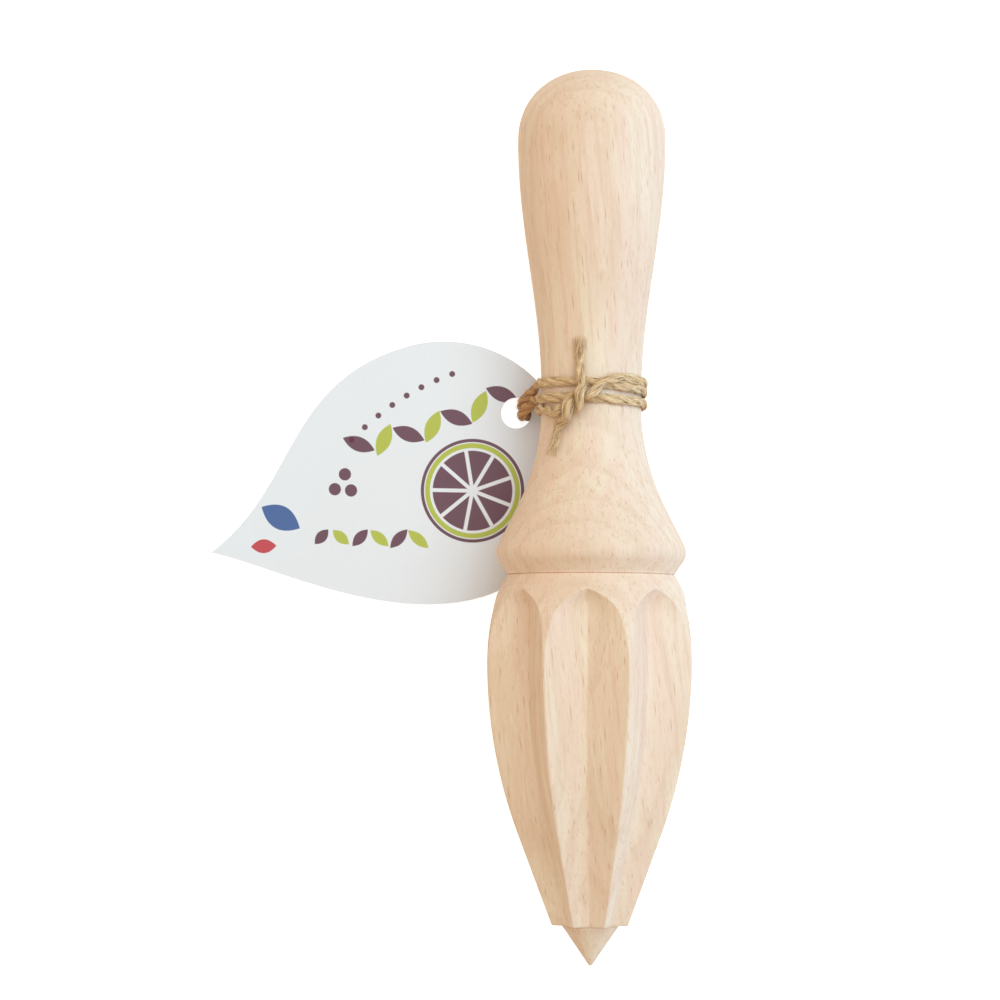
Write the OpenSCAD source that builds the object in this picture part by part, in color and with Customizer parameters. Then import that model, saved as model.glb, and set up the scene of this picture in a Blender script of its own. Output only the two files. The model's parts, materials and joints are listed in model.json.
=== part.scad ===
// Wooden citrus reamer, turned from one billet and fluted, with a card tag tied to its neck by twine.
// It lies on a table as it rests by itself: tip towards -Y, handle towards +Y, table at Z = 0.

/* [Reamer] */
// Length from the point to the top of the handle
reamer_l = 160; // [150:1:175]
// Largest diameter of the handle
grip_d = 26.6; // [23:0.2:30]
// Height of the handle's rounded end
dome_h = 12.5; // [9:0.5:14]
// How square the rounded end is, 2 being an ellipse
dome_power = 2.12; // [2:0.02:2.6]
// Diameter of the neck
neck_d = 17.9; // [16:0.1:20]
// Length of the straight stretch of the neck
neck_l = 1.5; // [1:0.5:4]

/* [Collar] */
// Height of the collar's widest line above the point
collar_s = 73.2; // [72:0.2:77]
// Diameter of the collar
collar_d = 33.9; // [33:0.1:36]
// Radius of the collar's rounded edge
collar_r = 3; // [2:0.1:3.5]
// Slope of the flare that runs from the collar to the neck
flare_angle = 26.6; // [24:0.2:30]
// Radius of the hollow where the flare meets the neck
flare_r = 41; // [34:1:48]
// Slope of the collar's underside
undercut_angle = 35; // [30:1:40]
// Diameter at the bottom of the groove under the collar
groove_d = 30; // [28.6:0.2:31]
// Radius of the groove's bottom
groove_r = 0.8; // [0.5:0.1:1.2]

/* [Head] */
// Diameter of the head across its ridges
head_d = 38.8; // [38:0.2:42]
// Radius of the head's rounding towards the collar
shoulder_r = 28.2; // [26:0.2:31]
// Radius of the head's rounding towards the point
belly_r = 83; // [78:1:90]
// Slope of the straight taper below it
taper_angle = 21.5; // [20.5:0.25:23]
// Height of the small cone at the point
cone_h = 7.3; // [6:0.1:9]
// Diameter of the small cone's foot
cone_d = 10; // [8:0.2:10.6]
// Half angle of the small cone
cone_angle = 34.5; // [32:0.5:38]
// Radius of the rounded point
point_r = 0.45; // [0.3:0.05:1]

/* [Flutes] */
// Number of flutes round the head
flutes = 8; // [8:2:10]
// Angle between the two flanks of a flute
flute_angle = 131; // [122:1:136]
// Width of the turned land left on each ridge
land_w = 0.4; // [0.3:0.05:0.8]
// Radius where a flute runs out towards the collar
runout_r = 7; // [4:0.5:9]
// Distance from the groove to the start of a flute's runout
runout_gap = 7.3; // [7:0.1:8]

/* [Twine] */
// Diameter of the twine
twine_d = 1.5; // [1.2:0.1:1.6]
// Turns of twine round the neck
twine_turns_n = 3; // [3:1:4]
// Gap between one turn and the next
twine_gap = 0.45; // [0.45:0.01:0.55]
// Extra distance before the last turn, which lies a little apart
twine_spread = 0.8; // [0:0.1:1.2]
// Room between the twine and the neck, in which the twine turns
twine_room = 0.25; // [0.15:0.05:0.4]
// Length of the knot
knot_l = 6.2; // [5.6:0.1:7]
// Distance of the knot's two strands from the knot's own axis
knot_r = 1.02; // [1:0.02:1.3]

/* [Tag] */
// Radius of the tag's round end
tag_r = 24.2; // [23:0.1:25]
// Distance from the centre of the round end to the pointed end
tag_reach = 46.3; // [42:0.1:50]
// Thickness of the card
tag_t = 0.5; // [0.3:0.05:0.6]
// Diameter of the hole for the twine
tag_hole_d = 5.7; // [5.5:0.1:6.2]
// Distance from the centre of the round end to the hole
tag_hole_reach = 17.35; // [16.5:0.05:18.5]
// Height of the card's underside at the hole, where the twine holds it off the table
tag_lift = 2.1; // [2:0.05:2.3]

/* [Hidden] */
$fn = 96;
wood = "burlywood";
jute = "peru";
card = "lavender";
far = 60;

// Radii
grip_r = grip_d / 2;
neck_r = neck_d / 2;
head_r = head_d / 2;
cone_r = cone_d / 2;

// Points of an arc in the profile, given as [radius, station], from angle a0 to angle a1
function arc(centre, r, a0, a1, steps) =
    [for (i = [0:steps]) let (a = a0 + (a1 - a0) * i / steps) centre + r * [cos(a), sin(a)]];

// Collar, and the flare that leaves it tangentially and turns into the neck
collar_c = [collar_d / 2 - collar_r, collar_s];
flare_foot = collar_c + collar_r * [cos(flare_angle), sin(flare_angle)];
flare_top = neck_r + flare_r * (1 - cos(flare_angle));
neck_s = flare_foot.y + (flare_foot.x - flare_top) / tan(flare_angle) + flare_r * sin(flare_angle);
flare_c = [neck_r + flare_r, neck_s];

// Groove, whose rounded bottom is tangent to the collar's underside
under_foot = collar_c + collar_r * [cos(undercut_angle), -sin(undercut_angle)];
groove_c_r = groove_d / 2 + groove_r;
groove_edge = groove_c_r - groove_r * cos(undercut_angle);
groove_s = under_foot.y - (under_foot.x - groove_edge) / tan(undercut_angle)
    - groove_r * sin(undercut_angle);

// Head, whose shoulder is tangent to the groove's bottom and to the belly at the widest point
shoulder_c_r = head_r - shoulder_r;
shoulder_angle = acos((groove_c_r - shoulder_c_r) / (shoulder_r + groove_r));
widest_s = groove_s - (shoulder_r + groove_r) * sin(shoulder_angle);
belly_end = [head_r - belly_r * (1 - cos(taper_angle)), widest_s - belly_r * sin(taper_angle)];
step_r = belly_end.x - (belly_end.y - cone_h) * tan(taper_angle);

// Outline of the head from the step to the groove, as [radius, station]
belly_steps = 14;
belly = arc([head_r - belly_r, widest_s], belly_r, -taper_angle, 0, belly_steps);
shoulder = arc([shoulder_c_r, widest_s], shoulder_r, 0, shoulder_angle, 10);
head = concat([[step_r, cone_h]], belly, shoulder);

// Outline of the handle from the neck to its top
dome_s = reamer_l - dome_h;
grip = [for (i = [0:18]) let (u = i / 18)
    [neck_r + (grip_r - neck_r) * (1 - cos(180 * u)) / 2,
     neck_s + neck_l + (dome_s - neck_s - neck_l) * u]];
dome = [for (i = [1:14]) let (a = 90 * i / 14)
    [grip_r * pow(cos(a), 2 / dome_power), dome_s + dome_h * pow(sin(a), 2 / dome_power)]];
handle = concat(grip, dome);

profile = concat(
    [[0, 0]],
    arc([0, point_r], point_r, -75, -cone_angle, 4),
    [[cone_r, point_r * (1 - sin(cone_angle))
        + (cone_r - point_r * cos(cone_angle)) / tan(cone_angle)]],
    [[cone_r, cone_h]],
    head,
    arc([groove_c_r, groove_s], groove_r, 180 + shoulder_angle, 180 - undercut_angle, 6),
    arc(collar_c, collar_r, -undercut_angle, flare_angle, 8),
    arc(flare_c, flare_r, 180 + flare_angle, 180, 10),
    handle
);

// Flutes: half a pitch of the ridges less half a land gives the depth of the valley
half_flank = flute_angle / 2;
ridge_turn = 180 / flutes;
land_turn = asin(land_w / head_d);
valley = sin(half_flank - ridge_turn + land_turn) / sin(half_flank);
runout_s = groove_s - runout_gap;
half_step = taper_angle / belly_steps / 2;
belly_middles = arc([head_r - belly_r, widest_s], belly_r,
    half_step - taper_angle, -half_step, belly_steps - 1);
valley_line = concat(
    [[valley * step_r, cone_h - 2]],
    [for (p = concat([head[0]], belly_middles)) [valley * p.x, p.y]],
    arc([valley * head_r + runout_r, runout_s], runout_r, 180, 90, 8)
);

// The reamer lies on its handle and on two ridges, so its axis slopes by the angle found here
ridge_low = cos(ridge_turn - land_turn);
function lowest(points, share, a) = min([for (p = points) -p.y * sin(a) - p.x * share * cos(a)]);
function settle(a0, a1, steps) = let (a = (a0 + a1) / 2)
    steps == 0 ? a
    : lowest(handle, 1, a) > lowest(head, ridge_low, a) ? settle(a, a1, steps - 1)
    : settle(a0, a, steps - 1);
lay = settle(0, 12, 24);
point_z = -lowest(handle, 1, lay);
point_y = -(max([for (p = profile) p.y * cos(lay) + p.x * sin(lay)])
    + min([for (p = profile) p.y * cos(lay) - p.x * sin(lay)])) / 2;

// Place of a point given by its side, its station along the axis and its height over the axis
function on_reamer(x, s, up) =
    [x, point_y + s * cos(lay) + up * sin(lay), point_z - s * sin(lay) + up * cos(lay)];
// Place of a point given by its turn round the axis from the top, its station and its radius
function round_axis(turn, s, r) = on_reamer(r * sin(turn), s, r * cos(turn));
// Place of a point given by its side, its station and its height over the table
function on_table(x, s, z) = [x, point_y + s * cos(lay), z];

// Twine: its turns start at turn_start degrees from the top of the neck
twine_r = twine_d / 2;
wrap_r = neck_r + twine_room + twine_r;
wrap_s = neck_s + 5.3;
twine_pitch = twine_d + twine_gap;
turn_start = 45;
turn_end = 360 * twine_turns_n - 60;
leave_neck = 140;
join_neck = 280;
ring_step = 15;
last_start = 360 * (twine_turns_n - 2) + join_neck;
function wrap_at(turn) = round_axis(turn,
    wrap_s - twine_pitch * turn / 360 - (turn < last_start ? 0 : twine_spread), wrap_r);
function wrap(from, to) = [for (turn = [from:ring_step:to]) wrap_at(turn)];

// One pass through the tag: side, station counted from where the twine leaves the neck, and height
pass = [[2.5, -0.4, 4.9], [-1.5, -1, 1.8], [-3.4, -1.6, 1], [-6, -2.3, 0.95], [-9, -3.2, 0.95],
        [-11.9, -4, 1.05], [-12.9, -4.1, 1.9], [-13.2, -4.1, 3.1], [-13.2, -3.9, 5.2],
        [-12.4, -2.8, 8.8], [-11.3, -1.6, 12.8]];
function tag_pass(k) = [for (p = pass)
    on_table(p.x, wrap_s - twine_pitch * (k + leave_neck / 360) + p.y, p.z)];

// Knot: two strands twisted once round each other, slanting over the turns
knot_turn = -12;
knot_s = neck_s - 0.5;
knot_slant = 50;
knot_ride = wrap_r + twine_r + 0.1 + knot_r + twine_r;
knot_c = round_axis(knot_turn, knot_s, knot_ride);
knot_out = round_axis(knot_turn, knot_s, knot_ride + 1) - knot_c;
knot_up = round_axis(knot_turn, knot_s + 1, knot_ride) - knot_c;
knot_along = sin(knot_slant) * cross(knot_up, knot_out) + cos(knot_slant) * knot_up;
knot_side = cross(knot_along, knot_out);
function strand(phase) = [for (i = [0:12]) let (a = 360 * i / 12 + phase)
    knot_c + knot_along * knot_l * (i / 12 - 0.5) + knot_r * (sin(a) * knot_out + cos(a) * knot_side)];

// Loose ends and the short leads between knot and turns: turn from the top, station from the neck,
// and height over the neck's own surface
tail_upper = [[-7, 3.5, 3.1], [-9, 5.5, 2.1], [-10, 8, 1.25], [-9.6, 10.3, 1.35]];
tail_lower = [[-37, -8.6, 2.2], [-35, -6, 1.6], [-30, -4.1, 2.4]];
lead_start = [[14, 3.3, 2.9], [30, 4.8, 1.85]];
lead_end = [[-47, -1.5, 1.7], [-35, -2.2, 2.9]];
function free(points) = [for (p = points) round_axis(p[0], neck_s + p[1], neck_r + p[2])];

part_lower = free(tail_lower);
part_knot_in = strand(0);
part_turns = concat(
    free(lead_start), wrap(turn_start, leave_neck), tag_pass(0),
    wrap(join_neck, 360 + leave_neck), tag_pass(1), wrap(360 + join_neck, turn_end), free(lead_end)
);
part_knot_out = strand(180);
part_upper = free(tail_upper);
route = concat(part_lower, part_knot_in, part_turns, part_knot_out, part_upper);

// Rings across the route, carried along it without twist
function unit(v) = v / norm(v);
last = len(route) - 1;
ahead = [for (i = [0:last]) unit(route[min(i + 1, last)] - route[max(i - 1, 0)])];
function carried(v, dir) = unit(v - (v * dir) * dir);
across = [for (i = 0, v = carried([0, 0, 1], ahead[0]); i <= last;
    i = i + 1, v = carried(v, ahead[min(i, last)])) v];
sides = 8;
function ring(i) = [for (k = [0:sides - 1]) let (a = 360 * (k + 0.5) / sides)
    route[i] + twine_r * (cos(a) * across[i] + sin(a) * cross(ahead[i], across[i]))];

// One unbroken tube from route point i0 to route point i1
module tube(i0, i1) {
    rows = i1 - i0;
    points = [for (i = [i0:i1]) each ring(i)];
    walls = [for (j = [0:rows - 1], k = [0:sides - 1]) let (a = j * sides, b = (k + 1) % sides)
        each [[a + k, a + b, a + sides + k], [a + b, a + sides + b, a + sides + k]]];
    foot = [for (k = [1:sides - 2]) [0, k + 1, k]];
    cap = [for (k = [1:sides - 2]) [rows * sides, rows * sides + k, rows * sides + k + 1]];
    polyhedron(points, concat(walls, foot, cap));
}

i_knot_in = len(part_lower);
i_turns = i_knot_in + len(part_knot_in) - 1;
i_knot_out = i_turns + len(part_turns) + 1;
i_upper = i_knot_out + len(part_knot_out) - 1;

// Least gap between stretches of the turns that lie a quarter turn or more apart
gaps = [for (i = [i_turns:i_knot_out], j = [i_turns:i_knot_out]) if (j - i > 7)
    norm(route[i] - route[j]) - twine_d];
echo(least_gap_of_the_turns_mm = min(gaps));
echo(slope_of_the_axis_deg = lay);

// Tag: outline in its own frame, with the round end's centre at the origin and the tip along +X
tag_yaw = 198.9;
tag_hole = tag_hole_reach * [cos(-160.1), sin(-160.1)];
tag_hole_side = neck_r + 5.45;
tag_hole_s = neck_s - 0.85;
edge_a = 88;
edge_b = 94;
pull_a = 18.8;
pull_b = 24.5;
tip_pull_a = 10;
tip_pull_b = 20.5;
tip_turn_a = 28.5;
tip_turn_b = 16.8;
function bend(p, n) = [for (i = [1:n - 1]) let (u = i / n, v = 1 - u)
    v * v * v * p[0] + 3 * v * v * u * p[1] + 3 * v * u * u * p[2] + u * u * u * p[3]];
tip = [tag_reach, 0];
near_a = tag_r * [cos(edge_a), sin(edge_a)];
near_b = tag_r * [cos(edge_b), -sin(edge_b)];
lower_edge = bend([tip, tip + tip_pull_a * [-cos(tip_turn_a), sin(tip_turn_a)],
    near_a + pull_a * [sin(edge_a), -cos(edge_a)], near_a], 14);
upper_edge = bend([near_b, near_b + pull_b * [sin(edge_b), cos(edge_b)],
    tip + tip_pull_b * [-cos(tip_turn_b), -sin(tip_turn_b)], tip], 18);
tag_outline = concat([tip], lower_edge, arc([0, 0], tag_r, edge_a, 360 - edge_b, 36), upper_edge);

// The tag lies on its tip and lower edge and is lifted at the hole, about the line between the two
function turn_z(v, a) = [v.x * cos(a) - v.y * sin(a), v.x * sin(a) + v.y * cos(a), v.z];
function turn_x(v, a) = [v.x, v.y * cos(a) - v.z * sin(a), v.y * sin(a) + v.z * cos(a)];
rest_angle = max([for (p = lower_edge) if (p.x < tag_reach - 4) atan(p.y / (tag_reach - p.x))]);
hole_from_tip = turn_z([tag_hole.x - tag_reach, tag_hole.y, 0], rest_angle - 180);
tag_tilt = asin(tag_lift / hole_from_tip.y);
tag_heading = tag_yaw + 180 - rest_angle;
hinge_at = on_table(-tag_hole_side, tag_hole_s, tag_lift);
tag_tip = hinge_at - turn_z(turn_x(hole_from_tip, tag_tilt), tag_heading);
hinge_axis = turn_z(turn_x([0, 0, -1], tag_tilt), tag_heading);
echo(tag_hinge_mm = hinge_at, tag_hinge_axis = hinge_axis);
echo(neck_centre_mm = on_reamer(0, wrap_s - twine_pitch * twine_turns_n / 2, 0));
echo(axis_direction = on_reamer(0, 1, 0) - on_reamer(0, 0, 0));

module lay_down() {
    translate([0, point_y, point_z]) rotate([-90 - lay, 0, 0]) children();
}

module flank(turn) {
    wall = [for (p = valley_line) [p.x * sin(half_flank), p.y]];
    rotate([90, 0, 0]) rotate([0, turn, 0])
        linear_extrude(height = far, center = true)
            polygon(concat(wall, [[far / 2, wall[len(wall) - 1].y], [far / 2, wall[0].y]]));
}

module flute() {
    intersection() {
        flank(180 + half_flank);
        flank(-half_flank);
    }
}

module reamer() {
    color(wood) lay_down() difference() {
        rotate_extrude() polygon(profile);
        for (i = [0:flutes - 1]) rotate([0, 0, 360 * i / flutes]) flute();
    }
}

module twine_turns() {
    color(jute) tube(i_turns, i_knot_out);
}

module twine_knot() {
    color(jute) {
        tube(i_knot_in, i_turns);
        tube(i_knot_out, i_upper);
    }
}

module twine_tail_upper() {
    color(jute) tube(i_upper, last);
}

module twine_tail_lower() {
    color(jute) tube(0, i_knot_in);
}

module tag() {
    color(card) translate(tag_tip) rotate([0, 0, tag_heading]) rotate([tag_tilt, 0, 0])
        rotate([0, 0, rest_angle - 180]) translate([-tag_reach, 0, 0]) difference() {
            linear_extrude(height = tag_t) polygon(tag_outline);
            translate([tag_hole.x, tag_hole.y, -1]) cylinder(d = tag_hole_d, h = tag_t + 2);
        }
}

reamer();
twine_turns();
twine_knot();
twine_tail_upper();
twine_tail_lower();
tag();
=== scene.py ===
"""A turned beech citrus reamer on a table, with a card tag tied to its neck by jute twine.

Outlines, stations and the names in _MM, _R and _S are in millimetres, apart from PLY_R. The visible yarn, the
camera, the table and the lamps are in metres. Stations are counted along the reamer's axis from its point.
"""

import json
import math
import random

import bpy
import numpy as np
from mathutils import Matrix, Vector
from mathutils.geometry import delaunay_2d_cdt


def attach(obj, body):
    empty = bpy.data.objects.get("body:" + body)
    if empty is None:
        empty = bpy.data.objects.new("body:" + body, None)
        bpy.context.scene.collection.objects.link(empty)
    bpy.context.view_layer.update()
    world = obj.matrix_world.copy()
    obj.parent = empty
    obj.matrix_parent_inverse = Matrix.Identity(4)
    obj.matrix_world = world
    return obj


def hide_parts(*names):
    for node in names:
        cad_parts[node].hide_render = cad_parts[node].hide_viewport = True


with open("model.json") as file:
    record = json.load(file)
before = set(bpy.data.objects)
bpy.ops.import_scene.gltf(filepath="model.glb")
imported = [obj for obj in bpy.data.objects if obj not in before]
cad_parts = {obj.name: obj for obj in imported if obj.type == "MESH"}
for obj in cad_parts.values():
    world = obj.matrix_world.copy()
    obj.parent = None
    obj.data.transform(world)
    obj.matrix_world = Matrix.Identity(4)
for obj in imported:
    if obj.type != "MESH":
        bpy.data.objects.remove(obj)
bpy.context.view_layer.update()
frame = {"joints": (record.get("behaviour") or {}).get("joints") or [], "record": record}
rng = random.Random(7)

MM = 0.001

# Driving sizes of the reamer, in millimetres, as the part's source has them
LENGTH_MM = 160
GRIP_D_MM = 26.6
DOME_H_MM = 12.5
DOME_POWER = 2.12
NECK_D_MM = 17.9
NECK_L_MM = 1.5
COLLAR_S_MM = 73.2
COLLAR_D_MM = 33.9
COLLAR_R_MM = 3
FLARE_ANGLE = 26.6
FLARE_R_MM = 41
UNDERCUT_ANGLE = 35
GROOVE_D_MM = 30
GROOVE_R_MM = 0.8
HEAD_D_MM = 38.8
SHOULDER_R_MM = 28.2
BELLY_R_MM = 83
TAPER_ANGLE = 21.5
CONE_H_MM = 7.3
CONE_D_MM = 10
CONE_ANGLE = 34.5
POINT_R_MM = 0.45
FLUTES = 8
FLUTE_ANGLE = 131
LAND_W_MM = 0.4
RUNOUT_R_MM = 7
RUNOUT_GAP_MM = 7.3

# Driving sizes of the twine and the tag
TWINE_MM = 1.5
TWINE_TURNS = 3
TWINE_GAP_MM = 0.45
TWINE_SPREAD_MM = 0.8
TWINE_ROOM_MM = 0.25
KNOT_L_MM = 6.2
KNOT_R_MM = 1.02
TAG_R_MM = 24.2
TAG_REACH_MM = 46.3
TAG_T_MM = 0.5
TAG_HOLE_D_MM = 5.7
TAG_HOLE_REACH_MM = 17.35
TAG_HOLE_TURN = -160.1
TAG_YAW = 198.9
TAG_LIFT_MM = 2.1


def sin(degrees):
    return math.sin(math.radians(degrees))


def cos(degrees):
    return math.cos(math.radians(degrees))


def tan(degrees):
    return math.tan(math.radians(degrees))


# The reamer's axis, from the two mounts that lie on it
mounts = {m["name"]: m for m in frame["record"]["mounts"]}
STEP_AT = Vector(mounts["fruit_head"]["pos_m"])
ALONG = Vector(mounts["hand_grip"]["axis"]).normalized()
SIDE = Vector((1, 0, 0))
OVER = SIDE.cross(ALONG)
POINT_AT = STEP_AT - ALONG * CONE_H_MM * MM


def round_axis(turn, station_mm, radius_mm):
    """A point given by its turn from the top, in degrees, its station and its radius."""
    out = SIDE * sin(turn) + OVER * cos(turn)
    return POINT_AT + (ALONG * station_mm + out * radius_mm) * MM


def on_table(side_mm, station_mm, height_mm):
    """A point given by its side, its station and its height over the table."""
    return Vector((side_mm * MM, POINT_AT.y + station_mm * MM * ALONG.y, height_mm * MM))


# Outline of the turned wood, as (radius, station) in millimetres
def on_arc(centre, radius, turn):
    """A point of an arc, given by its angle in degrees."""
    return centre[0] + radius * cos(turn), centre[1] + radius * sin(turn)


def arc(centre, radius, start, end, steps):
    """Points of an arc between two angles in degrees."""
    return [on_arc(centre, radius, turn) for turn in np.linspace(start, end, steps + 1)]


NECK_R = NECK_D_MM / 2
GRIP_R = GRIP_D_MM / 2
HEAD_R = HEAD_D_MM / 2
COLLAR_C = (COLLAR_D_MM / 2 - COLLAR_R_MM, COLLAR_S_MM)
flare_foot = on_arc(COLLAR_C, COLLAR_R_MM, FLARE_ANGLE)
flare_top = NECK_R + FLARE_R_MM * (1 - cos(FLARE_ANGLE))
NECK_S = flare_foot[1] + (flare_foot[0] - flare_top) / tan(FLARE_ANGLE) + FLARE_R_MM * sin(FLARE_ANGLE)

under_foot = on_arc(COLLAR_C, COLLAR_R_MM, -UNDERCUT_ANGLE)
GROOVE_MIDDLE_R = GROOVE_D_MM / 2 + GROOVE_R_MM
groove_edge = GROOVE_MIDDLE_R - GROOVE_R_MM * cos(UNDERCUT_ANGLE)
GROOVE_S = (under_foot[1] - (under_foot[0] - groove_edge) / tan(UNDERCUT_ANGLE)
            - GROOVE_R_MM * sin(UNDERCUT_ANGLE))
GROOVE_C = (GROOVE_MIDDLE_R, GROOVE_S)

# The shoulder's arc runs into the groove's, so their middles lie apart by both radii
SHOULDER_MIDDLE_R = HEAD_R - SHOULDER_R_MM
apart = SHOULDER_R_MM + GROOVE_R_MM
SHOULDER_ANGLE = math.degrees(math.acos((GROOVE_MIDDLE_R - SHOULDER_MIDDLE_R) / apart))
WIDEST_S = GROOVE_S - apart * sin(SHOULDER_ANGLE)
TAPER_TOP = (HEAD_R - BELLY_R_MM * (1 - cos(TAPER_ANGLE)), WIDEST_S - BELLY_R_MM * sin(TAPER_ANGLE))
STEP_R = TAPER_TOP[0] - (TAPER_TOP[1] - CONE_H_MM) * tan(TAPER_ANGLE)


def head_radius(station):
    """Radius of the turned head before it is fluted."""
    if station < TAPER_TOP[1]:
        return STEP_R + (station - CONE_H_MM) * tan(TAPER_ANGLE)
    if station < WIDEST_S:
        middle, radius = HEAD_R - BELLY_R_MM, BELLY_R_MM
    else:
        middle, radius = SHOULDER_MIDDLE_R, SHOULDER_R_MM
    return middle + math.sqrt(radius * radius - (station - WIDEST_S) ** 2)


# Flutes: the two flanks of a flute meet at the valley's radius
HALF_FLANK = FLUTE_ANGLE / 2
RIDGE_TURN = 180 / FLUTES
VALLEY = sin(HALF_FLANK - RIDGE_TURN + math.degrees(math.asin(LAND_W_MM / HEAD_D_MM))) / sin(HALF_FLANK)
RUNOUT_S = GROOVE_S - RUNOUT_GAP_MM
VALLEY_ROUND_MM = 0.16


def valley_radius(station):
    """Radius of a flute's bottom line, which turns outwards in an arc where the flute runs out."""
    if station < WIDEST_S:
        return VALLEY * head_radius(station)
    rise = min(max(station - RUNOUT_S, 0), RUNOUT_R_MM)
    return VALLEY * HEAD_R + RUNOUT_R_MM - math.sqrt(RUNOUT_R_MM ** 2 - rise ** 2)


def ridge_edge(station):
    """Angle from a flute's middle to the edge of the land beside it; 0 above the flute."""
    share = valley_radius(station) * sin(HALF_FLANK) / head_radius(station)
    if share >= sin(HALF_FLANK):
        return 0
    return math.degrees(math.acos(share)) - (90 - HALF_FLANK)


def flute_radius(station, turn):
    """Radius of the flute's surface at an angle from its middle, with its bottom slightly rounded."""
    flank = valley_radius(station) * sin(HALF_FLANK)
    across = flank / cos(abs(turn) + 90 - HALF_FLANK) * sin(abs(turn))
    rounding = (math.hypot(across, VALLEY_ROUND_MM) - across) * tan(90 - HALF_FLANK)
    return flank / cos(abs(turn) + 90 - HALF_FLANK) + rounding


def grid_mesh(name, rows):
    """A closed mesh through rows of points, each row a ring with as many points."""
    rings, sides = len(rows), len(rows[0])
    points = [p for row in rows for p in row]
    faces = [(j * sides + k, j * sides + (k + 1) % sides,
              (j + 1) * sides + (k + 1) % sides, (j + 1) * sides + k)
             for j in range(rings - 1) for k in range(sides)]
    faces.append(tuple(reversed(range(sides))))
    faces.append(tuple(range((rings - 1) * sides, rings * sides)))
    mesh = bpy.data.meshes.new(name)
    mesh.from_pydata(points, [], faces)
    return mesh


def place(name, mesh, body, slot, *nodes):
    """Puts a piece on its body, in place of the CAD nodes that it stands for."""
    piece = bpy.data.objects.new(name, mesh)
    bpy.context.scene.collection.objects.link(piece)
    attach(piece, body)
    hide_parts(*nodes)
    return piece


def look_down():
    """The camera: over the table a little to the right of the reamer, aimed at the picture's middle."""
    picture_mm = 179.5
    sensor_mm = 36
    level = 0.0159
    height = 0.482
    aim = Vector((-0.0164, 0.0026, level))
    stand = Vector((0.0194, 0.0004, level + height))
    camera = bpy.data.cameras.new("camera")
    camera.sensor_width = sensor_mm
    camera.lens = sensor_mm * (aim - stand).length / (picture_mm * MM)
    camera.clip_start = 0.01
    seen = bpy.data.objects.new("camera", camera)
    bpy.context.scene.collection.objects.link(seen)
    back = (stand - aim).normalized()
    right = Vector((0, 1, 0)).cross(back).normalized()
    turned = Matrix((right, back.cross(right), back)).transposed()
    seen.matrix_world = Matrix.Translation(stand) @ turned.to_4x4()
    bpy.context.scene.camera = seen


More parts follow.
